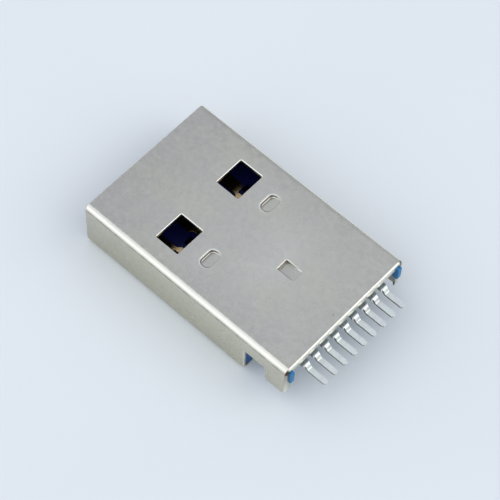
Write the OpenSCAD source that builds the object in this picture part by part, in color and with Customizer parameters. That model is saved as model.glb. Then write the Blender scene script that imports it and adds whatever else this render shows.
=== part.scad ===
// USB 3.0 standard-A plug with nine contacts, for the edge of a circuit board.
// The mouth faces -Y, the tails point to +Y, and the seamed side of the shell
// lies on the XY plane. Lengths are in millimetres.

/* [Shell] */
// Width of the shell, side to side
shell_w = 12; // [11.9:0.05:12.1]
// Height of the shell, bottom to top
shell_h = 4.5; // [4.4:0.05:4.6]
// Length of the shell, mouth to rear edge
shell_l = 18.75; // [18.55:0.05:18.95]
// Thickness of the sheet
sheet_t = 0.3; // [0.25:0.01:0.31]
// Outside radius of the four long bends
bend_r = 0.5; // [0.4:0.05:0.6]
// Width of the gap at the seam underneath
seam_gap = 0.06; // [0.04:0.01:0.1]

/* [Catch holes] */
// Width of each catch hole, across the shell
hole_w = 2.5; // [2.4:0.05:2.6]
// Length of each catch hole, along the shell
hole_l = 2; // [1.9:0.05:2.1]
// Distance from the mouth to the near edge of the catch holes
hole_y = 5.23; // [5.1:0.01:5.3]
// Distance between the two catch holes
hole_gap = 3.6; // [3.5:0.05:3.7]

/* [Dimples and tab] */
// Width of each pressed dimple
dimple_w = 1.5; // [1.3:0.05:1.6]
// Length of each pressed dimple
dimple_l = 0.95; // [0.8:0.05:1.2]
// Distance from the mouth to the sheared edge of the dimples
dimple_y = 8.65; // [8.6:0.05:8.9]
// Depth of a dimple at its sheared edge
dimple_d = 0.26; // [0.15:0.01:0.28]
// Width of the lanced tab in the middle
tab_w = 1; // [0.8:0.05:1.1]
// Length of the lanced tab
tab_l = 1.5; // [1.3:0.05:1.6]
// Distance from the mouth to the free end of the tab
tab_y = 12.95; // [12.85:0.05:13.05]
// Depth of the tab at its free end
tab_d = 0.27; // [0.2:0.01:0.29]

/* [Board notch and legs] */
// Distance from the mouth to the front edge of the notch for the board
notch_y = 15.02; // [14.95:0.01:15.1]
// Height of the notch above the bottom of the shell
notch_z = 2.78; // [2.74:0.01:2.85]
// Distance from the mouth to the front edge of the solder legs
leg_y = 16.88; // [16.7:0.02:17]
// Height of the end of the solder legs above the bottom of the shell
leg_z = 1.3; // [1.2:0.05:1.4]
// Corner radius of the solder legs
leg_r = 0.45; // [0.3:0.05:0.5]

/* [Insulator] */
// Height of the tongue's top face above the bottom of the shell
tongue_z = 2.2; // [2.15:0.01:2.22]
// Distance from the mouth to the end of the tongue
tongue_y = 0.4; // [0.3:0.05:0.5]
// Depth of the cavity, mouth to back wall
cavity_y = 8.65; // [8.6:0.01:8.8]
// Underside of the rear block, where it sits over the board
seat_z = 2.79; // [2.72:0.01:2.8]
// Rear face of the block between its two arms
block_y = 18; // [17.8:0.05:18.1]
// End of the two arms beside the tails
arm_y = 18.96; // [18.9:0.02:19.1]
// Thickness of each arm
arm_t = 0.34; // [0.3:0.01:0.5]
// Top of the arms
arm_z = 4.04; // [3.95:0.01:4.1]

/* [Contacts] */
// Thickness of the contact strip
strip_t = 0.2; // [0.18:0.01:0.2]
// Top face of the four flat contacts
pad_z = 2.25; // [2.23:0.01:2.26]
// Width of the four flat contacts
pad_w = 1; // [0.9:0.05:1]
// Front end of the power and ground contacts
power_y = 1; // [0.9:0.05:1.2]
// Front end of the two data contacts
data_y = 2; // [1.9:0.05:2.2]
// Width of the spring contacts
spring_w = 0.55; // [0.5:0.01:0.58]
// Height that the spring contacts stand above the flat ones
spring_h = 0.48; // [0.35:0.01:0.5]
// Crest of the spring contacts, from the mouth
spring_y = 6.95; // [6.9:0.01:7.1]

/* [Tails] */
// Distance between neighbouring tails
tail_pitch = 1; // [0.98:0.01:1.02]
// Width of each strip where it leaves the block
root_w = 0.62; // [0.5:0.01:0.66]
// Width of each tail
tail_w = 0.42; // [0.36:0.01:0.44]
// End of the tails, from the mouth
tail_y = 20.7; // [20.5:0.05:20.9]
// Soldering plane under the tails
board_z = 2.77; // [2.68:0.01:2.78]

/* [Hidden] */
$fn = 64;
in_w = shell_w - 2 * sheet_t;           // inside width of the shell
in_top = shell_h - sheet_t;             // inside face of the top
fit = 0.02;                             // gap between plastic and sheet
grip = 0.01;                            // gap between contact and plastic
hole_x = (hole_gap + hole_w) / 2;       // centre of a catch hole from the middle
root_z = 3.2;                           // mid-height of the strips as they leave the block
foot_z = board_z + strip_t / 2;         // mid-height of the feet
strip_z = pad_z - strip_t / 2;          // mid-height of the flat contacts
slot_w = spring_w + 0.21;               // width of the slots that the springs sink in
slot_rear = 10.6;                       // where the springs are gripped
mid_y = tail_y / 2;                     // middle of the whole length
blue = [0.09, 0.32, 0.56];
nickel = [0.73, 0.73, 0.71];
gold = [0.86, 0.70, 0.38];

// ---- helpers -------------------------------------------------------------

// Moves the part from the mouth's own datum to the middle of its length
module placed() translate([0, -mid_y, 0]) children();

// Extrudes an outline drawn in X and Z along Y, from y0 to y1
module along_y(y0, y1) translate([0, y1, 0]) rotate([90, 0, 0]) linear_extrude(y1 - y0) children();

// Extrudes an outline drawn in Y and Z along X, from x0 to x1
module along_x(x0, x1) translate([x0, 0, 0]) rotate([90, 0, 90]) linear_extrude(x1 - x0) children();

// Rectangle between two corners
module rect(x0, x1, y0, y1) translate([x0, y0]) square([x1 - x0, y1 - y0]);

// Box between two corners
module box(x0, x1, y0, y1, z0, z1) translate([x0, y0, z0]) cube([x1 - x0, y1 - y0, z1 - z0]);

// Rectangle with round corners, between two corners
module round_rect(x0, x1, y0, y1, r) {
    rect(x0 + r, x1 - r, y0, y1);
    rect(x0, x1, y0 + r, y1 - r);
    for (x = [x0 + r, x1 - r], y = [y0 + r, y1 - r]) translate([x, y]) circle(r);
}

function unit(v) = v / norm(v);

// Points round one corner of a path, on a radius r
function corner(a, b, c, r, n = 6) =
    let (u = unit(b - a), v = unit(c - b), turn = atan2(u[0] * v[1] - u[1] * v[0], u * v),
         s = b - u * r * tan(abs(turn) / 2), side = turn > 0 ? 1 : -1,
         m = s + side * r * [-u[1], u[0]], a0 = atan2(s[1] - m[1], s[0] - m[0]))
    [for (i = [0:n]) m + r * [cos(a0 + turn * i / n), sin(a0 + turn * i / n)]];

// A path with every inner corner rounded
function rounded(p, r) = concat([p[0]],
    [for (i = [1:len(p) - 2]) each corner(p[i - 1], p[i], p[i + 1], r[i - 1])],
    [p[len(p) - 1]]);

// Sideways direction at one point of a path, long enough to keep the band's width
function across(p, i) =
    let (n = len(p), u = i > 0 ? unit(p[i] - p[i - 1]) : unit(p[1] - p[0]),
         v = i < n - 1 ? unit(p[i + 1] - p[i]) : u, m = unit(u + v))
    [-m[1], m[0]] / (m * u);

// Outline of a band of width w along a path
function band(p, w) = concat(
    [for (i = [0:len(p) - 1]) p[i] + across(p, i) * w / 2],
    [for (i = [len(p) - 1:-1:0]) p[i] - across(p, i) * w / 2]);

// ---- shell ---------------------------------------------------------------

// One pressed place in the top: the sheet slopes down towards the mouth
module pressed_cut(x, w, y, l, d, r) intersection() {
    translate([x, 0, in_top - 2]) linear_extrude(4) round_rect(-w / 2, w / 2, y, y + l, r);
    along_x(x - w, x + w) polygon([[y - 1, shell_h + 1], [y - 1, shell_h - d * (l + 1) / l],
                                   [y + l, shell_h], [y + l, shell_h + 1]]);
}
module pressed_fill(x, w, y, l, d, r) intersection() {
    translate([x, 0, in_top - 2]) linear_extrude(4) round_rect(-w / 2, w / 2, y, y + l, r);
    along_x(x - w, x + w) polygon([[y - 1, shell_h - d * (l + 1) / l], [y + l, shell_h],
                                   [y + l, in_top], [y - 1, in_top - d * (l + 1) / l]]);
}

// The dovetailed seam along the underside
module seam() translate([0, 0, -1]) linear_extrude(1 + sheet_t + 0.05)
    polygon(band([[0, -1], [0, 2.4], [0.85, 2.2], [0.85, 3.8], [0, 3.6], [0, 9.6], [0.85, 9.4],
                  [0.85, 11], [0, 10.8], [0, notch_y + 1]], seam_gap));

// One solder leg, as an outline in Y and Z
module leg_outline() {
    rect(leg_y, shell_l, leg_z + leg_r, notch_z + 0.5);
    rect(leg_y + leg_r, shell_l - leg_r, leg_z, leg_z + leg_r + 0.1);
    for (y = [leg_y + leg_r, shell_l - leg_r]) translate([y, leg_z + leg_r]) circle(leg_r);
}

module shell() placed() color(nickel) {
    difference() {
        along_y(0, shell_l) difference() {
            round_rect(-shell_w / 2, shell_w / 2, 0, shell_h, bend_r);
            round_rect(-in_w / 2, in_w / 2, sheet_t, in_top, bend_r - sheet_t + 0.02);
        }
        // catch holes, top and bottom
        for (s = [-1, 1], z = [-0.5, in_top - 0.1])
            box(s * hole_x - hole_w / 2, s * hole_x + hole_w / 2, hole_y, hole_y + hole_l, z, z + 1);
        seam();
        // room for the board, with the legs left standing
        difference() {
            box(-shell_w, shell_w, notch_y, shell_l + 1, -1, notch_z);
            along_x(-shell_w, shell_w) leg_outline();
            box(-shell_w, shell_w, shell_l, shell_l + 2, -2, notch_z + 1);
        }
        for (s = [-1, 1]) pressed_cut(s * hole_x, dimple_w, dimple_y, dimple_l, dimple_d, 0.42);
        pressed_cut(0, tab_w, tab_y, tab_l, tab_d, 0.06);
    }
    for (s = [-1, 1]) pressed_fill(s * hole_x, dimple_w, dimple_y, dimple_l, dimple_d, 0.42);
    pressed_fill(0, tab_w, tab_y, tab_l, tab_d, 0.06);
}

// ---- contacts ------------------------------------------------------------

// The way a strip takes from the block down to its foot, in Y and Z
function tail_path() = [[12, strip_z], [13.15, root_z], [18.9, root_z], [19.12, foot_z]];
tail_bends = [0.35, 0.35, 0.2, 0.2];

// A flat contact in plan: wide pad at the front, narrow strip behind, foot at the end
function flat_plan(s, xp, xt, y0, g) =
    let (h = pad_w / 2 + g, n = 0.25 + g, b = root_w / 2 + g, w = tail_w / 2 + g)
    [for (p = [[xp - h + 0.15, y0 - g], [xp + h - 0.15, y0 - g], [xp + h, y0 + 0.15], [xp + h, 5.7 + g],
               [max(xt + n, xp + h - 0.25), 5.95 + g], [xt + n, 5.95 + g], [xt + n, 17.2], [xt + b, 17.4],
               [xt + b, 18.82], [xt + w, 18.9],
               [xt + w, tail_y - 0.16 + g], [xt + w - 0.09, tail_y + g],
               [xt - w + 0.09, tail_y + g], [xt - w, tail_y - 0.16 + g], [xt - w, 18.9],
               [xt - b, 18.82], [xt - b, 17.4],
               [xt - n, 17.2], [xt - n, 5.95 + g + max(0, xp - h - xt + n)], [xp - h, 5.95 + g],
               [xp - h, y0 + 0.15]]) [s * p[0], p[1]]];

// A spring contact in plan
function spring_plan(x, g) =
    let (n = spring_w / 2 + g, b = root_w / 2 + g, w = tail_w / 2 + g)
    [[x - n + 0.1, 6.1 - g], [x + n - 0.1, 6.1 - g], [x + n, 6.3], [x + n, 17.2], [x + b, 17.4],
     [x + b, 18.82], [x + w, 18.9],
     [x + w, tail_y - 0.16 + g], [x + w - 0.09, tail_y + g], [x - w + 0.09, tail_y + g],
     [x - w, tail_y - 0.16 + g], [x - w, 18.9],
     [x - b, 18.82], [x - b, 17.4], [x - n, 17.2], [x - n, 6.3]];

// Four flat contacts: s is the side, k is 1 for the inner pair and 3 for the outer
module flat_contact(s, k, y0, g = 0) {
    xp = k == 1 ? 1 : 3.5;
    path = rounded(concat([[y0 - g, strip_z - 0.42], [y0 + 0.3, strip_z]], tail_path(), [[tail_y + g, foot_z]]),
                   concat([0.2], tail_bends));
    intersection() {
        along_x(s * 3 - 4, s * 3 + 4) polygon(band(path, strip_t + 2 * g));
        linear_extrude(6) polygon(flat_plan(s, xp, k * tail_pitch, y0, g));
    }
}

// Five spring contacts, at an even number k of tail pitches from the middle
module spring_contact(k, g = 0) {
    x = k * tail_pitch;
    crest = pad_z + spring_h - strip_t / 2;
    path = rounded(concat([[spring_y - 0.65, crest - 0.56], [spring_y, crest + 0.05], [8.4, strip_z]],
                          tail_path(), [[tail_y + g, foot_z]]),
                   concat([0.3, 0.8], tail_bends));
    intersection() {
        along_x(x - 1, x + 1) polygon(band(path, strip_t + 2 * g));
        linear_extrude(6) polygon(spring_plan(x, g));
    }
}

// Everything that the plastic must leave free for the strips
module strips(g) {
    for (s = [-1, 1]) {
        flat_contact(s, 1, data_y, g);
        flat_contact(s, 3, power_y, g);
    }
    for (k = [-4:2:4]) spring_contact(k, g);
}

module power_contact() placed() color(gold) flat_contact(1, 3, power_y);
module data_minus_contact() placed() color(gold) flat_contact(1, 1, data_y);
module data_plus_contact() placed() color(gold) flat_contact(-1, 1, data_y);
module ground_contact() placed() color(gold) flat_contact(-1, 3, power_y);
module receive_minus_contact() placed() color(gold) spring_contact(-4);
module receive_plus_contact() placed() color(gold) spring_contact(-2);
module drain_contact() placed() color(gold) spring_contact(0);
module send_minus_contact() placed() color(gold) spring_contact(2);
module send_plus_contact() placed() color(gold) spring_contact(4);

// ---- insulator -----------------------------------------------------------

// The lower moulding: the tongue with its grooves and slots
module insulator_body() placed() color(blue) difference() {
    intersection() {
        along_y(tongue_y, notch_y - fit)
            round_rect(-in_w / 2 + fit, in_w / 2 - fit, sheet_t + fit, tongue_z + 1, 0.24);
        // bevelled front edges of the tongue, top and bottom
        along_x(-shell_w, shell_w) polygon([[tongue_y, 0.6], [tongue_y + 0.3, 0.2], [notch_y, 0.2],
            [notch_y, tongue_z], [tongue_y + 0.45, tongue_z], [tongue_y, tongue_z - 0.35]]);
        // bevelled front corners of the tongue, seen from above
        linear_extrude(6) polygon([[-in_w / 2 + 0.4, tongue_y], [in_w / 2 - 0.4, tongue_y],
            [in_w / 2, tongue_y + 0.6], [in_w / 2, shell_l], [-in_w / 2, shell_l], [-in_w / 2, tongue_y + 0.6]]);
    }
    strips(grip);
    // slots that the springs sink in
    for (k = [-4:2:4])
        box(k * tail_pitch - slot_w / 2, k * tail_pitch + slot_w / 2, 6, slot_rear, 1.15, tongue_z + 1);
    // room for the socket's catches behind the bottom holes
    for (s = [-1, 1])
        box(s * hole_x - hole_w / 2 - 0.1, s * hole_x + hole_w / 2 + 0.1, hole_y - 0.15, hole_y + hole_l + 0.15, 0, 0.95);
}

// The upper moulding: holds the strips down and fills the rear of the shell
module contact_carrier() placed() color(blue) difference() {
    union() {
        intersection() {
            along_y(cavity_y, block_y)
                round_rect(-in_w / 2 + fit, in_w / 2 - fit, 0, in_top - fit, 0.24);
            along_x(-shell_w, shell_w) polygon([[cavity_y, tongue_z + grip], [notch_y - fit, tongue_z + grip],
                [notch_y - fit, seat_z], [block_y, seat_z], [block_y, shell_h], [cavity_y, shell_h]]);
        }
        // the arms beside the tails
        for (s = [-1, 1]) translate([s * (in_w / 2 - fit - arm_t / 2), 0, 0]) along_x(-arm_t / 2, arm_t / 2)
            polygon([[block_y - 0.5, seat_z], [arm_y - 0.1, seat_z], [arm_y, seat_z + 0.1], [arm_y, arm_z - 0.06],
                     [arm_y - 0.06, arm_z], [block_y - 0.5, arm_z]]);
    }
    strips(grip);
    // pockets under the dimples and the tab of the shell
    for (s = [-1, 1])
        box(s * hole_x - dimple_w / 2 - 0.1, s * hole_x + dimple_w / 2 + 0.1, cavity_y - 1, dimple_y + dimple_l + 0.1,
            in_top - dimple_d - 0.08, shell_h);
    box(-tab_w / 2 - 0.1, tab_w / 2 + 0.1, tab_y - 0.15, tab_y + tab_l + 0.1, in_top - tab_d - 0.08, shell_h);
}

// ---- the parts -----------------------------------------------------------

shell();
insulator_body();
contact_carrier();
power_contact();
data_minus_contact();
data_plus_contact();
ground_contact();
receive_minus_contact();
receive_plus_contact();
drain_contact();
send_minus_contact();
send_plus_contact();
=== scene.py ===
"""Looks of the board-edge data plug: shell, mouldings and contacts, on a pale floor."""

import math

import bpy
import numpy as np
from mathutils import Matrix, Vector
from mathutils.geometry import delaunay_2d_cdt

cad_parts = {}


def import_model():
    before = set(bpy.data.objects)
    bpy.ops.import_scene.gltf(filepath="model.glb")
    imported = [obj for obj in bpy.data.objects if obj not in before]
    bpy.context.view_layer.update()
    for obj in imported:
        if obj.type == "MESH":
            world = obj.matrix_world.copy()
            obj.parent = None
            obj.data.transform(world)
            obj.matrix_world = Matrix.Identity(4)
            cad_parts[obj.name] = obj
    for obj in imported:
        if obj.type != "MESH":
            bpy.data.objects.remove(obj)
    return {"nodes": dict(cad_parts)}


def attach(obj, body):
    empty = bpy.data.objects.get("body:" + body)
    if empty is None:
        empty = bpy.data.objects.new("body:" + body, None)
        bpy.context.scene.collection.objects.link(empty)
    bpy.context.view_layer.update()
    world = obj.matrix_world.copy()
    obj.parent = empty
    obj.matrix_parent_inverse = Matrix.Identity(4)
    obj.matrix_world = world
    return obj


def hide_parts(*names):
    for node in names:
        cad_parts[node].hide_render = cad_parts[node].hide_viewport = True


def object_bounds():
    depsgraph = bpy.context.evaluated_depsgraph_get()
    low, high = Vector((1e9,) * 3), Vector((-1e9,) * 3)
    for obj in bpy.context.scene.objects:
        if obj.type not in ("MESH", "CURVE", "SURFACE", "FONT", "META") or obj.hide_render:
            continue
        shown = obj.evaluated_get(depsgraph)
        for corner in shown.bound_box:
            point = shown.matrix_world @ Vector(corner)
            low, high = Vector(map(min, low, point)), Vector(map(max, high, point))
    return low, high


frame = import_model()
cad_low, cad_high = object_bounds()
nodes = frame["nodes"]
MM = 0.001
MOUTH = cad_low[1]          # the mouth's place along Y in this frame, in metres


def place(x, y, z):
    """Millimetres from the mouth's datum to metres in this frame."""
    return (x * MM, y * MM + MOUTH, z * MM)


# ---------------------------------------------------------------------------
# Outlines
# ---------------------------------------------------------------------------

def arc_steps(turn, radius, fine=0.03):
    return max(3, min(14, int(math.ceil(abs(turn) * max(radius, 0.02) / fine))))


def rounded_loop(corners):
    """A closed outline from (x, y, radius) corners, with the material on its left.
    Gives the points and, at each, the direction that leads out of the material."""
    pts, out = [], []
    n = len(corners)
    for i in range(n):
        ax, ay, _ = corners[i - 1]
        bx, by, r = corners[i]
        cx, cy, _ = corners[(i + 1) % n]
        u = np.array([bx - ax, by - ay]); u /= np.linalg.norm(u)
        v = np.array([cx - bx, cy - by]); v /= np.linalg.norm(v)
        turn = math.atan2(u[0] * v[1] - u[1] * v[0], float(u @ v))
        if abs(turn) < 1e-6 or r <= 0:
            pts.append((bx, by)); out.append((u[1], -u[0])); continue
        s = np.array([bx, by]) - u * r * math.tan(abs(turn) / 2)
        side = 1 if turn > 0 else -1
        m = s + side * r * np.array([-u[1], u[0]])
        a0 = math.atan2(s[1] - m[1], s[0] - m[0])
        k = arc_steps(turn, r)
        for j in range(k + 1):
            a = a0 + turn * j / k
            d = np.array([math.cos(a), math.sin(a)])
            pts.append(tuple(m + r * d))
            out.append(tuple(side * d))
    return np.array(pts), np.array(out)


def split_at(pts, out, axis, values, where):
    """Adds points to the straight edges of a loop where a coordinate takes a value."""
    new_p, new_o = [], []
    n = len(pts)
    for i in range(n):
        a, b = pts[i], pts[(i + 1) % n]
        new_p.append(a); new_o.append(out[i])
        d = b - a
        if abs(d[axis]) < 1e-9 or abs(d[1 - axis]) > 1e-7 or not where(a, b):
            continue
        cuts = sorted(((v - a[axis]) / d[axis] for v in values), key=float)
        for t in cuts:
            if 1e-4 < t < 1 - 1e-4:
                new_p.append(a + t * d); new_o.append(out[i])
    return np.array(new_p), np.array(new_o)


def inside(points, loops):
    """Even-odd test of points against closed loops."""
    points = np.asarray(points)
    odd = np.zeros(len(points), bool)
    for loop in loops:
        a, b = loop, np.roll(loop, -1, 0)
        for (x0, y0), (x1, y1) in zip(a, b):
            hit = (y0 > points[:, 1]) != (y1 > points[:, 1])
            if hit.any():
                t = (points[hit, 1] - y0) / (y1 - y0)
                idx = np.where(hit)[0][points[hit, 0] < x0 + t * (x1 - x0)]
                odd[idx] ^= True
    return odd


# ---------------------------------------------------------------------------
# The shell: a flat blank with its cut edges, pressed places and bends
# ---------------------------------------------------------------------------

W, H, L, T, R = 12.0, 4.5, 18.75, 0.3, 0.5
FLAT = W / 2 - R                       # half of the flat top
ARC = R * math.pi / 2
SIDE = H - 2 * R
U1 = FLAT                              # start of the upper bend
U2 = U1 + ARC                          # start of the side
U3 = U2 + SIDE                         # start of the lower bend
U4 = U3 + ARC                          # start of the bottom
UX = U4 + FLAT                         # where the bottom would reach the middle
NOTCH_Y, NOTCH_Z = 15.02, 2.78
LEG_Y, LEG_Z, LEG_R = 16.88, 1.3, 0.45
HOLE_Y, HOLE_L, HOLE_W, HOLE_X = 5.23, 2.0, 2.5, 3.05
SEAM = 0.06
DIM_W, DIM_L, DIM_Y, DIM_D, DIM_R = 1.5, 0.95, 8.65, 0.26, 0.42
TAB_W, TAB_L, TAB_Y, TAB_D = 1.0, 1.5, 12.95, 0.27
TAB_R = 0.07

UN = U2 + (H - R - NOTCH_Z)            # the notch's top edge on the side
UL = U2 + (H - R - LEG_Z)              # the leg's lower edge


def offset_path(path, off):
    """A path moved to its right-hand side by off, with mitred corners."""
    p = np.array(path, float)
    d = np.diff(p, axis=0); d /= np.linalg.norm(d, axis=1)[:, None]
    res = []
    for i in range(len(p)):
        u = d[max(i - 1, 0)]; v = d[min(i, len(d) - 1)]
        m = u + v; m /= np.linalg.norm(m)
        nrm = np.array([m[1], -m[0]])
        res.append(p[i] + nrm * off / (m @ u))
    return res


def blank_outline():
    path = [(0, 0), (0, 2.4), (0.85, 2.2), (0.85, 3.8), (0, 3.6), (0, 9.6), (0.85, 9.4), (0.85, 11), (0, 10.8), (0, NOTCH_Y)]
    # radii at the dovetails' corners, seen from each half
    plus = offset_path(path, SEAM / 2)          # +X half: its boundary lies at larger x
    minus = offset_path(path, -SEAM / 2)
    rc = 0.1
    c = [(-(UX + minus[0][0]), 0.0, 0.12), (UX - plus[0][0], 0.0, 0.12)]
    # up along the seam, on the +X half (u = UX - x)
    for p in plus[1:-1]:
        c.append((UX - p[0], p[1], rc))
    c.append((UX - plus[-1][0], NOTCH_Y, 0.12))
    c += [(UN, NOTCH_Y, 0.12), (UN, LEG_Y, 0.12), (UL, LEG_Y, LEG_R), (UL, L, LEG_R),
          (-UL, L, LEG_R), (-UL, LEG_Y, LEG_R), (-UN, LEG_Y, 0.12), (-UN, NOTCH_Y, 0.12)]
    c.append((-(UX + minus[-1][0]), NOTCH_Y, 0.12))
    for p in minus[-2:0:-1]:
        c.append((-(UX + p[0]), p[1], rc))
    return c


def hole_outline(u, y, w, l, r=0.07):
    """A cut-out: clockwise, so the material lies on the left."""
    return [(u - w / 2, y, r), (u - w / 2, y + l, r), (u + w / 2, y + l, r), (u + w / 2, y, r)]


def rrect_sdf(u, v, cx, cy, w, l, r):
    qx = np.abs(u - cx) - (w / 2 - r)
    qy = np.abs(v - cy) - (l / 2 - r)
    return np.hypot(np.maximum(qx, 0), np.maximum(qy, 0)) + np.minimum(np.maximum(qx, qy), 0) - r


RIM, WALL, TOE = 0.085, 0.05, 0.07     # roll-over, wall and fillet of a pressed place


def step_profile(s):
    """0 outside a pressed place, 1 on its floor."""
    s = np.asarray(s, float)
    d_rim, d_toe = 0.16, 0.2
    g = np.zeros_like(s)
    a = np.clip((RIM - s) / RIM, 0, 1)
    g = d_rim * (1 - np.sqrt(np.clip(1 - a * a * 0.96, 0, 1))) / (1 - math.sqrt(0.04))
    b = np.clip(-s / WALL, 0, 1)
    g = g + (1 - d_rim - d_toe) * b
    c = np.clip((-s - WALL) / TOE, 0, 1)
    return g + d_toe * (1 - (1 - c) ** 2)


def smooth(t):
    t = np.clip(t, 0, 1)
    return t * t * (3 - 2 * t)


def pressed(u, v):
    """How far the sheet is pressed in at a place of the blank."""
    u = np.asarray(u, float); v = np.asarray(v, float)
    f = np.zeros(np.broadcast(u, v).shape)
    for cx in (-HOLE_X, HOLE_X):
        s = rrect_sdf(u, v, cx, DIM_Y + DIM_L / 2, DIM_W, DIM_L, DIM_R)
        slope = np.clip(1 - (v - DIM_Y) / (DIM_L + 0.02), 0, 1.02)
        f = f + DIM_D * slope * step_profile(s)
    # the lanced tab: straight from its root at the rear, sheared along the front and the sides
    s = rrect_sdf(u, v, 0, TAB_Y + TAB_L / 2, TAB_W, TAB_L, TAB_R)
    return f + TAB_D * np.clip((TAB_Y + TAB_L - v) / TAB_L, 0, 1) * step_profile(s * 1.5)


def pressed_slope(u, v, e=0.002):
    return ((pressed(u + e, v) - pressed(u - e, v)) / (2 * e), (pressed(u, v + e) - pressed(u, v - e)) / (2 * e))


def press_marks(u, v):
    """Painted highlights on the lips round the pressed places, strongest on their steep front sides, and painted
    shade in the creases inside them.
    """
    lip_highlight, crease_shade = np.zeros(len(u)), np.zeros(len(u))
    for cx in (-HOLE_X, HOLE_X):
        s = rrect_sdf(u, v, cx, DIM_Y + DIM_L / 2, DIM_W, DIM_L, DIM_R)
        steep = np.clip(1.15 - (v - DIM_Y) / DIM_L, 0, 1)
        lip_highlight = np.maximum(lip_highlight, steep * np.clip(1 - np.abs(s - 0.075) / 0.09, 0, 1))
        crease_shade = np.maximum(crease_shade, steep * smooth(1 - np.abs(s + 0.02) / 0.07))
    s = rrect_sdf(u, v, 0, TAB_Y + TAB_L / 2, TAB_W, TAB_L, 0.05)
    steep = np.clip(1.1 - (v - TAB_Y) / TAB_L, 0, 1)
    lip_highlight = np.maximum(lip_highlight, steep * np.clip(1 - np.abs(s - 0.05) / 0.07, 0, 1))
    crease_shade = np.maximum(crease_shade, 0.6 * steep * smooth(1 - np.abs(s + 0.06) / 0.16))
    # a faint painted shade over the tab's floor
    crease_shade = np.maximum(crease_shade, 0.13 * steep * (s < -0.05))
    return lip_highlight, crease_shade


def cut_end_painted_shade(u, v, d):
    """Painted shade: dark brown where the rear cut crosses the upper bends."""
    q = np.abs(u)
    at = smooth((q - U1 - 0.15) / 0.2) * smooth((U2 + 0.15 - q) / 0.25)
    return at * smooth((v - L + 0.2) / 0.09)


def fold_dark_reflection(u):
    """A painted dark reflection line low on the upper bends, with fainter ones higher up."""
    a = (np.abs(u) - U1) / R
    return np.exp(-((a - 1.32) / 0.1) ** 2) + 0.35 * np.exp(-((a - 0.12) / 0.14) ** 2) + 0.4 * np.exp(-((a - 1.0) / 0.13) ** 2)


def fold_painted_highlight(u):
    """Painted highlight along the upper bends, 0 to 1."""
    a = (np.abs(u) - U1) / R
    return 0.95 * smooth((a - 0.5) / 0.3) * smooth((1.25 - a) / 0.15)


def fold(u, v, d):
    """Places of the blank, at a depth under its outer face, on the folded shell."""
    s, q = np.sign(u), np.abs(u)
    x = np.zeros_like(q); z = np.zeros_like(q)
    a = q <= U1
    x[a] = q[a]; z[a] = H - d[a]
    a = (q > U1) & (q <= U2); th = (q[a] - U1) / R
    x[a] = FLAT + (R - d[a]) * np.sin(th); z[a] = H - R + (R - d[a]) * np.cos(th)
    a = (q > U2) & (q <= U3)
    x[a] = W / 2 - d[a]; z[a] = H - R - (q[a] - U2)
    a = (q > U3) & (q <= U4); th = math.pi / 2 + (q[a] - U3) / R
    x[a] = FLAT + (R - d[a]) * np.sin(th); z[a] = R + (R - d[a]) * np.cos(th)
    a = q > U4
    x[a] = FLAT - (q[a] - U4); z[a] = d[a]
    return np.stack([np.where(s < 0, -x, x), v, z], 1)


def fold_axes(u):
    """The blank's own directions on the folded shell: across, and outward."""
    q = np.abs(u)
    th = np.clip((q - U1) / R, 0, math.pi / 2) + np.clip((q - U3) / R, 0, math.pi / 2)
    s = np.where(u < 0, -1.0, 1.0)
    zero = np.zeros_like(q)
    e_u = np.stack([np.cos(th), zero, -s * np.sin(th)], 1)
    e_n = np.stack([s * np.sin(th), zero, np.cos(th)], 1)
    return e_u, e_n


def contour(cx, cy, w, l, r, s):
    """A rounded rectangle's outline grown by s, as closed points."""
    rr = max(r + s, 0.02)
    hw, hl = w / 2 + s - rr, l / 2 + s - rr
    pts = []
    for qx, qy, a0 in ((1, 1, 0), (-1, 1, 90), (-1, -1, 180), (1, -1, 270)):
        for j in range(9):
            a = math.radians(a0 + 90 * j / 8)
            pts.append((cx + qx * hw + rr * math.cos(a), cy + qy * hl + rr * math.sin(a)))
    clean = [pts[0]]
    for p in pts[1:]:
        if math.dist(p, clean[-1]) > 1e-4:
            clean.append(p)
    if math.dist(clean[0], clean[-1]) < 1e-4:
        clean.pop()
    # long straight runs get points of their own
    res = []
    for i, p in enumerate(clean):
        q = clean[(i + 1) % len(clean)]
        n = max(1, int(math.dist(p, q) / 0.13))
        res += [(p[0] + (q[0] - p[0]) * j / n, p[1] + (q[1] - p[1]) * j / n) for j in range(n)]
    return res


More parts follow.
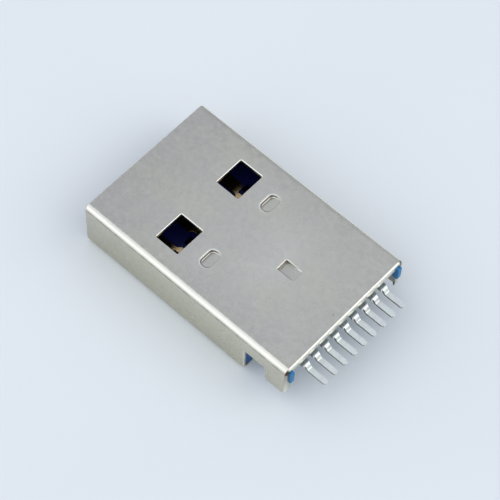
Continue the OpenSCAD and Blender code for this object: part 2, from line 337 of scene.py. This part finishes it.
def build_shell():
    roll, burr = 0.085, 0.03           # radii of a cut edge, outside and inside
    ring = []                          # (sideways, depth, slope of the normal) from the outer face to the inner
    for k in range(6):
        a = math.pi / 2 * k / 5
        ring.append((roll * (1 - math.sin(a)), roll * (1 - math.cos(a)), a))
    for k in range(3):
        a = math.pi / 2 * k / 2
        ring.append((burr * (1 - math.cos(a)), T - burr * (1 - math.sin(a)), math.pi / 2 + a))
    bends = [U1 + ARC * k / 16 for k in range(17)] + [U3 + ARC * k / 12 for k in range(13)]
    bends = sorted([-b for b in bends] + bends)

    loops = []
    p, o = rounded_loop(blank_outline())
    p, o = split_at(p, o, 0, bends, lambda a, b: True)
    loops.append((p, o, roll))
    for u in (-HOLE_X, HOLE_X):
        loops.append((*rounded_loop(hole_outline(u, HOLE_Y, HOLE_W, HOLE_L)), roll))
        w = UX - abs(u)
        loops.append((*rounded_loop(hole_outline(math.copysign(w, u), HOLE_Y, HOLE_W, HOLE_L)), roll))

    verts_u, verts_v, verts_d, nrm, rim_burnish_and_highlight = [], [], [], [], []
    faces = []
    rings = []                         # vertex numbers of each loop's rings
    for p, o, r in loops:
        loop_rings = []
        for lat, dep, a in ring:
            grow = 1 + 1.1 * smooth((p[:, 1] - L + 0.4) / 0.4) if a <= math.pi / 2 else np.ones(len(p))
            q = p - o * (lat * grow)[:, None]
            first = len(verts_u)
            verts_u += list(q[:, 0]); verts_v += list(q[:, 1]); verts_d += list(dep * grow)
            nrm += [(m[0] * math.sin(a), m[1] * math.sin(a), math.cos(a)) for m in o]
            # the cut edges get a lighter base: partly burnish, partly painted highlight
            rim_burnish_and_highlight += [min(1.0, math.sin(a) * 1.2)] * len(q)
            loop_rings.append(list(range(first, first + len(q))))
        n = len(p)
        for k in range(len(loop_rings) - 1):
            a_, b_ = loop_rings[k], loop_rings[k + 1]
            for i in range(n):
                j = (i + 1) % n
                faces.append((a_[i], b_[i], b_[j], a_[j]))
        rings.append(loop_rings)

    def face_sheet(which, depth, up):
        """The outer or the inner face: a triangulation that keeps the bends and the pressed places."""
        ids = [i for lr in rings for i in lr[which]]
        pos = {i: k for k, i in enumerate(ids)}
        pts = [(verts_u[i], verts_v[i]) for i in ids]
        edges = []
        for lr in rings:
            r_ = lr[which]
            edges += [(pos[r_[i]], pos[r_[(i + 1) % len(r_)]]) for i in range(len(r_))]
        new_ids = []

        def add(u, v):
            new_ids.append((u, v)); pts.append((u, v)); return len(pts) - 1
        # bend lines: from the front edge to the rear edge, or to the notch
        outer = rings[0][which]
        for b in bends:
            hits = sorted((verts_v[i], pos[i]) for i in outer if abs(verts_u[i] - b) < 1e-6)
            lo, hi = hits[0][1], hits[-1][1]
            y0, y1 = hits[0][0], hits[-1][0]
            prev = lo
            for k in range(1, 12):
                q = add(b, y0 + (y1 - y0) * k / 12)
                edges.append((prev, q)); prev = q
            edges.append((prev, hi))
        # pressed dimples
        for cx in (-HOLE_X, HOLE_X):
            levels = [0.16, RIM, 0.065, 0.045, 0.03, 0.018, 0.008, 0.0, -WALL / 2, -WALL, -WALL - 0.02, -WALL - 0.04, -WALL - TOE, -0.2, -0.3]
            for s in levels:
                c = [add(*q) for q in contour(cx, DIM_Y + DIM_L / 2, DIM_W, DIM_L, DIM_R, s)]
                edges += [(c[i], c[(i + 1) % len(c)]) for i in range(len(c))]
            for k in range(-3, 4):
                add(cx + k * 0.12, DIM_Y + DIM_L / 2)
        # the tab
        for t in [0.16, RIM, 0.065, 0.045, 0.03, 0.018, 0.008, 0.0, -WALL / 2, -WALL, -WALL - 0.02, -WALL - 0.04, -WALL - TOE, -0.2, -0.3]:
            c = [add(*q) for q in contour(0, TAB_Y + TAB_L / 2, TAB_W, TAB_L, TAB_R, t / 1.5)]
            edges += [(c[i], c[(i + 1) % len(c)]) for i in range(len(c))]
        for k in range(-4, 5):
            add(0, TAB_Y + TAB_L / 2 + k * 0.12)
        vo, eo, fo, ov, oe, of_ = delaunay_2d_cdt([Vector(q) for q in pts], edges, [], 0, 1e-7)
        back = {}
        for k, src in enumerate(ov):
            if not src:
                raise RuntimeError("the sheet's lines cross at (%.4f, %.4f)" % tuple(vo[k]))
            for s_ in src:
                back.setdefault(k, s_)
        first = len(verts_u)
        for u, v in new_ids:
            verts_u.append(u); verts_v.append(v); verts_d.append(depth)
            nrm.append((0, 0, 1.0 if up else -1.0)); rim_burnish_and_highlight.append(0.0)
        index = ids + list(range(first, first + len(new_ids)))
        tris = [tuple(back[i] for i in f) for f in fo]
        cen = np.array([[sum(pts[i][0] for i in f) / 3, sum(pts[i][1] for i in f) / 3] for f in tris])
        keep = inside(cen, [np.array([(verts_u[i], verts_v[i]) for i in lr[which]]) for lr in rings])
        for f, k in zip(tris, keep):
            if k:
                a_, b_, c_ = (index[i] for i in f)
                area = (pts[f[1]][0] - pts[f[0]][0]) * (pts[f[2]][1] - pts[f[0]][1]) - (pts[f[2]][0] - pts[f[0]][0]) * (pts[f[1]][1] - pts[f[0]][1])
                if (area > 0) != up:
                    b_, c_ = c_, b_
                faces.append((a_, b_, c_))

    face_sheet(0, 0.0, True)
    face_sheet(-1, T, False)

    u = np.array(verts_u); v = np.array(verts_v); d = np.array(verts_d); n = np.array(nrm, float)
    f = pressed(u, v); fu, fv = pressed_slope(u, v)
    co = fold(u, v, d + f)
    n = np.stack([n[:, 0] + fu * n[:, 2], n[:, 1] + fv * n[:, 2], n[:, 2]], 1)
    n /= np.linalg.norm(n, axis=1)[:, None]
    e_u, e_n = fold_axes(u)
    world = e_u * n[:, :1] + np.array([[0, 1, 0]]) * n[:, 1:2] + e_n * n[:, 2:3]
    mesh = bpy.data.meshes.new("shell_sheet")
    mesh.from_pydata([place(*c) for c in co], [], faces)
    mesh.polygons.foreach_set("use_smooth", [True] * len(mesh.polygons))
    lip_highlight, crease_shade = press_marks(u, v)
    outside = d < T / 2
    # painted highlight: the upper bends' lighter band joins the cut edges and the lips in one value
    fields = {"rim_burnish_and_highlight": np.maximum(np.maximum(np.array(rim_burnish_and_highlight), lip_highlight * outside), fold_painted_highlight(u) * outside), "crease_shade": crease_shade * outside,
              # painted shade on the inner faces, weaker behind the notch
              "inner": (d > T - 0.05) * np.where(v > NOTCH_Y + 0.5, 0.4, 1.0), "cut_end_shade": cut_end_painted_shade(u, v, d),
              "bend_dark_reflection": fold_dark_reflection(u) * outside}
    for name, values in fields.items():
        data = mesh.attributes.new(name, "FLOAT", "POINT")
        data.data.foreach_set("value", np.asarray(values, np.float32))
    mesh.normals_split_custom_set_from_vertices(world.tolist())
    mesh.update()
    obj = bpy.data.objects.new("shell_sheet", mesh)
    bpy.context.scene.collection.objects.link(obj)
    return obj


shell = build_shell()
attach(shell, "root")
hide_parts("shell")


# ---------------------------------------------------------------------------
# Materials
# ---------------------------------------------------------------------------

class Nodes:
    """Short names for building a node tree."""

    def __init__(self, name):
        self.mat = bpy.data.materials.new(name)
        self.mat.use_nodes = True
        self.t = self.mat.node_tree
        self.t.nodes.clear()
        self.out = self.t.nodes.new("ShaderNodeOutputMaterial")
        self.bsdf = self.t.nodes.new("ShaderNodeBsdfPrincipled")
        self.link(self.bsdf.outputs[0], self.out.inputs[0])
        self.coord = self.t.nodes.new("ShaderNodeTexCoord").outputs["Object"]

    def link(self, a, b):
        self.t.links.new(a, b)

    def put(self, node, socket, value):
        s = node.inputs[socket]
        if isinstance(value, bpy.types.NodeSocket):
            self.link(value, s)
        else:
            s.default_value = value

    def scaled(self, k, turn=(0, 0, 0)):
        m = self.t.nodes.new("ShaderNodeMapping")
        self.link(self.coord, m.inputs["Vector"])
        m.inputs["Scale"].default_value = k if isinstance(k, (tuple, list)) else (k, k, k)
        m.inputs["Rotation"].default_value = turn
        return m.outputs[0]

    def noise(self, vec, scale=1.0, detail=2.0, rough=0.5, distort=0.0):
        n = self.t.nodes.new("ShaderNodeTexNoise")
        self.link(vec, n.inputs["Vector"])
        for k, v in (("Scale", scale), ("Detail", detail), ("Roughness", rough), ("Distortion", distort)):
            n.inputs[k].default_value = v
        return n.outputs["Fac"]

    def voronoi(self, vec, scale=1.0, feature="F1", out="Distance"):
        n = self.t.nodes.new("ShaderNodeTexVoronoi")
        n.feature = feature
        self.link(vec, n.inputs["Vector"])
        n.inputs["Scale"].default_value = scale
        return n.outputs[out]

    def ramp(self, fac, stops, mode="LINEAR"):
        n = self.t.nodes.new("ShaderNodeValToRGB")
        self.link(fac, n.inputs[0])
        n.color_ramp.interpolation = mode
        e = n.color_ramp.elements
        while len(e) < len(stops):
            e.new(0.5)
        for el, (p, c) in zip(e, stops):
            el.position = p
            el.color = (*c, 1) if isinstance(c, (tuple, list)) else (c, c, c, 1)
        return n.outputs[0]

    def math(self, op, a, b=None, c=None, clamp=False):
        n = self.t.nodes.new("ShaderNodeMath")
        n.operation = op
        n.use_clamp = clamp
        for i, v in enumerate((a, b, c)):
            if v is not None:
                self.put(n, i, v)
        return n.outputs[0]

    def range(self, v, a, b, c, d):
        n = self.t.nodes.new("ShaderNodeMapRange")
        for i, x in enumerate((v, a, b, c, d)):
            self.put(n, i, x)
        return n.outputs[0]

    def mix(self, fac, a, b, mode="MIX"):
        n = self.t.nodes.new("ShaderNodeMix")
        n.data_type = "RGBA"
        n.blend_type = mode
        self.put(n, 0, fac)
        self.put(n, 6, (*a, 1) if isinstance(a, tuple) and len(a) == 3 else a)
        self.put(n, 7, (*b, 1) if isinstance(b, tuple) and len(b) == 3 else b)
        return n.outputs[2]

    def bump(self, height, distance, strength=1.0, normal=None):
        n = self.t.nodes.new("ShaderNodeBump")
        n.inputs["Strength"].default_value = strength
        n.inputs["Distance"].default_value = distance
        self.link(height, n.inputs["Height"])
        if normal is not None:
            self.link(normal, n.inputs["Normal"])
        return n.outputs[0]

    def attribute(self, name):
        n = self.t.nodes.new("ShaderNodeAttribute")
        n.attribute_name = name
        return n.outputs["Fac"]

    def xyz(self):
        n = self.t.nodes.new("ShaderNodeSeparateXYZ")
        self.link(self.coord, n.inputs[0])
        return n.outputs[0], n.outputs[1], n.outputs[2]


def nickel():
    m = Nodes("nickel_plate")
    p = m.scaled(1000.0)                                    # object coordinates in millimetres
    x, y, z = m.xyz()
    fine = m.noise(p, 5.5, 4, 0.6)                          # grain of the plated strip
    cell = m.noise(p, 2.6, 4, 0.62, 0.4)                    # mottling of 0.2 to 0.45 mm
    broad = m.noise(p, 0.32, 3, 0.5)
    base = m.ramp(broad, [(0.35, (0.62, 0.59, 0.50)), (0.65, (0.65, 0.622, 0.495))])
    base = m.mix(m.range(cell, 0.35, 0.65, 0.0, 1.0), m.mix(1.0, base, (0.945, 0.945, 0.95), "MULTIPLY"), base)
    base = m.mix(m.range(fine, 0.35, 0.7, 0.0, 0.45), base, m.mix(1.0, base, (0.94, 0.94, 0.955), "MULTIPLY"))
    line = m.noise(m.scaled((260.0, 5200.0, 260.0), (0, 0, 0.5)), 1.0, 2, 0.5)          # faint rubbing marks
    base = m.mix(m.range(line, 0.66, 0.74, 0.0, 0.35), base, (0.76, 0.745, 0.65))

    def spot(cx, cy, r0, r1, colour, amount):
        dx = m.math("SUBTRACT", x, cx * MM)
        dy = m.math("SUBTRACT", y, cy * MM + MOUTH)
        dist = m.math("SQRT", m.math("ADD", m.math("MULTIPLY", dx, dx), m.math("MULTIPLY", dy, dy)))
        dist = m.math("ADD", dist, m.math("MULTIPLY", m.math("SUBTRACT", fine, 0.5), 0.4 * r1 * MM))
        up = m.range(z, 4.3 * MM, 4.4 * MM, 0.0, 1.0)
        return m.mix(m.math("MULTIPLY", up, m.range(dist, r0 * MM, r1 * MM, amount, 0.0)), base, colour)

    base = spot(0.53, 18.05, 0.05, 0.14, (0.33, 0.33, 0.31), 0.7)
    base = spot(-4.75, 9.0, 0.1, 0.45, (0.50, 0.49, 0.42), 0.6)
    base = spot(1.9, 15.4, 0.03, 0.1, (0.42, 0.41, 0.36), 0.5)
    base = m.mix(m.range(y, -0.008, 0.008, 0.0, 0.5), base, (0.74, 0.705, 0.575))       # painted light: a little lighter towards the rear
    # painted shade: darker towards the bottom of the shell
    low = m.range(z, 0.3 * MM, 4.4 * MM, 0.45, 0.0)
    base = m.mix(low, base, (0.40, 0.385, 0.29))
    # painted dark reflection along the upper bends, broken up by noise
    streak = m.noise(m.scaled((2600.0, 1900.0, 2600.0)), 1.0, 3, 0.7)
    base = m.mix(m.math("MULTIPLY", m.attribute("bend_dark_reflection"), m.range(streak, 0.4, 0.6, 0.3, 1.0)), base, (0.20, 0.195, 0.17))
    # painted shade: dark lines in the creases of the pressed places
    base = m.mix(m.math("MULTIPLY", m.attribute("crease_shade"), 0.92), base, (0.07, 0.068, 0.062))
    # painted highlight: a lighter, warmer base on the cut edges, the pressed places' lips and the upper bends,
    # the cut edges partly as burnish
    rim_burnish_and_highlight = m.attribute("rim_burnish_and_highlight")
    base = m.mix(m.math("MULTIPLY", rim_burnish_and_highlight, 0.9), base, (0.95, 0.93, 0.775))
    # painted shade: the shell's inner faces are darkened to about a tenth
    base = m.mix(m.math("MULTIPLY", m.attribute("inner"), 0.9), base, (0.10, 0.10, 0.095))
    # painted shade: dark brown at the rear cut ends of the upper bends
    base = m.mix(m.attribute("cut_end_shade"), base, (0.10, 0.06, 0.04))
    rough = m.math("ADD", m.range(cell, 0.3, 0.7, 0.25, 0.34), m.range(fine, 0.3, 0.7, -0.03, 0.05))
    m.put(m.bsdf, "Base Color", base)
    m.put(m.bsdf, "Roughness", rough)
    m.bsdf.inputs["Metallic"].default_value = 1.0
    height = m.math("ADD", m.math("MULTIPLY", fine, 0.5), m.math("MULTIPLY", cell, 1.9))
    m.put(m.bsdf, "Normal", m.bump(height, 0.0000045, 1.0))
    return m.mat


def plastic(name, low, high, shine, rear=None):
    m = Nodes(name)
    p = m.scaled(1000.0)
    fine = m.noise(p, 9.0, 3, 0.6)
    flow = m.noise(m.scaled((700.0, 160.0, 700.0)), 1.0, 3, 0.5)
    base = m.ramp(flow, [(0.3, low), (0.7, high)])
    if rear:
        base = m.mix(m.range(m.xyz()[1], 12.0 * MM + MOUTH, 14.5 * MM + MOUTH, 0.0, 1.0), base, rear)
    m.put(m.bsdf, "Base Color", base)
    m.put(m.bsdf, "Roughness", m.range(fine, 0.3, 0.7, 0.36, 0.5))
    m.bsdf.inputs["Specular IOR Level"].default_value = shine
    m.put(m.bsdf, "Normal", m.bump(fine, 0.000002, 1.0))
    return m.mat


def strip_metal():
    """Gold on the mating ends, satin tin on the tails, and uncoated copper alloy on the tails' cut side faces,
    darkened further as painted shade; the pads carry a band of painted shade.
    """
    m = Nodes("plated_strip")
    x, y, z = m.xyz()
    p = m.scaled(1000.0)
    fine = m.noise(p, 8.0, 3, 0.6)
    wave = m.noise(p, 1.6, 2, 0.5)
    at = m.math("ADD", y, m.math("MULTIPLY", wave, 0.0006))
    tail = m.range(at, 0.0010, 0.0018, 0.0, 1.0)
    gold = m.ramp(fine, [(0.3, (0.60, 0.42, 0.20)), (0.7, (0.68, 0.50, 0.26))])
    tin = m.ramp(fine, [(0.3, (0.80, 0.84, 0.74)), (0.7, (0.90, 0.94, 0.83))])
    tin = m.mix(m.range(wave, 0.45, 0.6, 0.0, 0.35), tin, (0.76, 0.70, 0.66))
    front = m.range(y, 3.6 * MM + MOUTH, 4.4 * MM + MOUTH, 1.0, 0.0)
    rear = m.range(y, 5.55 * MM + MOUTH, 5.9 * MM + MOUTH, 0.0, 1.0)
    gold = m.mix(m.math("MAXIMUM", front, rear), (0.10, 0.075, 0.035), gold)      # painted shade: the pads are dark between the two, standing in for the shell's reflection
    col = m.mix(tail, gold, tin)
    sep = m.t.nodes.new("ShaderNodeSeparateXYZ")
    m.link(m.t.nodes.new("ShaderNodeTexCoord").outputs["Normal"], sep.inputs[0])
    # side faces of the tails: uncoated copper alloy, made darker as painted shade
    cut = m.range(m.math("ABSOLUTE", sep.outputs[0]), 0.75, 0.95, 0.0, 1.0)
    col = m.mix(m.math("MULTIPLY", cut, m.math("MULTIPLY", tail, 0.85)), col, (0.22, 0.19, 0.16))
    m.put(m.bsdf, "Base Color", col)
    m.bsdf.inputs["Metallic"].default_value = 1.0
    m.put(m.bsdf, "Roughness", m.math("ADD", m.range(fine, 0.3, 0.7, 0.2, 0.3), m.math("MULTIPLY", tail, 0.14)))
    m.put(m.bsdf, "Normal", m.bump(m.math("ADD", fine, wave), 0.000003, 1.0))
    return m.mat


def set_material(obj, mat):
    if not obj.material_slots:
        obj.data.materials.append(mat)
    for s in obj.material_slots:
        s.link = "OBJECT"
        s.material = mat


m_nickel, m_strip = nickel(), strip_metal()
m_rear = plastic("blue_moulding", (0.016, 0.165, 0.36), (0.024, 0.20, 0.42), 0.4)
# painted shade: the tongue is a darker copy of the blue moulding, lighter again towards its rear
m_tongue_shaded = plastic("shaded_blue_moulding", (0.002, 0.003, 0.045), (0.003, 0.005, 0.06), 0.2, (0.004, 0.09, 0.27))
set_material(shell, m_nickel)


def soften(obj, width, segments=2, angle=30):
    w = obj.modifiers.new("weld", "WELD"); w.merge_threshold = 1e-7
    d = obj.modifiers.new("flat", "DECIMATE"); d.decimate_type = "DISSOLVE"; d.angle_limit = math.radians(1.0)
    b = obj.modifiers.new("edge", "BEVEL")
    b.width = width; b.segments = segments; b.limit_method = "ANGLE"; b.angle_limit = math.radians(angle)
    b.use_clamp_overlap = True; b.harden_normals = True; b.miter_outer = "MITER_ARC"


for name, obj in nodes.items():
    if name == "shell":
        set_material(obj, m_nickel)
    elif name in ("insulator_body", "contact_carrier"):
        set_material(obj, m_tongue_shaded if name == "insulator_body" else m_rear); soften(obj, 0.00003)
    else:
        set_material(obj, m_strip); soften(obj, 0.00003)


# ---------------------------------------------------------------------------
# Floor, light and camera
# ---------------------------------------------------------------------------

def floor():
    m = Nodes("floor_paper")
    p = m.scaled(1000.0)
    n = m.noise(p, 0.03, 2, 0.5)
    m.put(m.bsdf, "Base Color", m.ramp(n, [(0.3, (0.74, 0.765, 0.715)), (0.7, (0.76, 0.78, 0.727))]))
    m.bsdf.inputs["Roughness"].default_value = 0.9
    m.bsdf.inputs["Specular IOR Level"].default_value = 0.1
    size = 0.6
    mesh = bpy.data.meshes.new("floor")
    mesh.from_pydata([(-size, -size, 0), (size, -size, 0), (size, size, 0), (-size, size, 0)], [], [(0, 1, 2, 3)])
    obj = bpy.data.objects.new("floor", mesh)
    bpy.context.scene.collection.objects.link(obj)
    obj.location.z = -0.00001
    set_material(obj, m.mat)


floor()


def world():
    w = bpy.data.worlds.new("studio")
    bpy.context.scene.world = w
    w.use_nodes = True
    t = w.node_tree
    t.nodes.clear()
    out = t.nodes.new("ShaderNodeOutputWorld")
    bg = t.nodes.new("ShaderNodeBackground")
    t.links.new(bg.outputs[0], out.inputs[0])
    co = t.nodes.new("ShaderNodeTexCoord").outputs["Generated"]

    def vec(op, a, b):
        n = t.nodes.new("ShaderNodeVectorMath"); n.operation = op
        for i, x in enumerate((a, b)):
            if isinstance(x, bpy.types.NodeSocket):
                t.links.new(x, n.inputs[i])
            else:
                n.inputs[i].default_value = x
        return n

    def rng(v, a, b, c, d, kind="SMOOTHSTEP"):
        n = t.nodes.new("ShaderNodeMapRange"); n.interpolation_type = kind
        t.links.new(v, n.inputs[0])
        for i, x in enumerate((a, b, c, d)):
            n.inputs[i + 1].default_value = x
        return n.outputs[0]

    def add(a, b):
        return vec("ADD", a, b).outputs[0]

    def tint(v, colour):
        n = t.nodes.new("ShaderNodeVectorMath"); n.operation = "SCALE"
        n.inputs[0].default_value = colour
        t.links.new(v, n.inputs["Scale"])
        return n.outputs[0]

    sep = t.nodes.new("ShaderNodeSeparateXYZ"); t.links.new(co, sep.inputs[0])
    height = sep.outputs[2]
    sky = tint(rng(height, -0.02, 0.45, 0.22, 0.66), (0.95, 1.02, 1.24))
    total = sky
    for az, el, inner, outer, power, col in LAMPS:
        a, e = math.radians(az), math.radians(el)
        d = (math.cos(a) * math.cos(e), math.sin(a) * math.cos(e), math.sin(e))
        dot = vec("DOT_PRODUCT", co, d).outputs["Value"]
        total = add(total, tint(rng(dot, math.cos(math.radians(outer)), math.cos(math.radians(inner)), 0.0, power), col))
    t.links.new(total, bg.inputs[0])
    bg.inputs[1].default_value = 1.0


# azimuth from +X towards +Y, elevation, inner and outer angle of the soft edge, power, colour
LAMPS = [
    (-28, 33, 36, 60, 0.74, (0.97, 1.0, 1.12)),
    (119, 40, 14, 36, 1.2, (1.0, 1.0, 1.08)),
]
world()


def camera():
    a, e, r = (math.radians(v) for v in (129.217, 59.877, 3.724))
    back = Vector((math.sin(a) * math.cos(e), -math.cos(a) * math.cos(e), math.sin(e)))
    right = Vector((math.cos(a), math.sin(a), 0))
    up = back.cross(right)
    rr = math.cos(r) * right + math.sin(r) * up
    uu = -math.sin(r) * right + math.cos(r) * up
    at = Vector((0, 9.0, 2.25)) + back * 139.557 + rr * 0.811 - uu * 0.259
    cam = bpy.data.cameras.new("camera")
    cam.sensor_width = 36; cam.lens = 144
    cam.clip_start = 0.01; cam.clip_end = 10
    obj = bpy.data.objects.new("camera", cam)
    bpy.context.scene.collection.objects.link(obj)
    obj.location = place(*at)
    from mathutils import Matrix
    obj.rotation_euler = Matrix((rr, uu, back)).transposed().to_euler()
    bpy.context.scene.camera = obj


camera()
view = bpy.context.scene.view_settings
view.view_transform = "Standard"
view.look = "None"
view.exposure = 0.0
view.gamma = 1.0
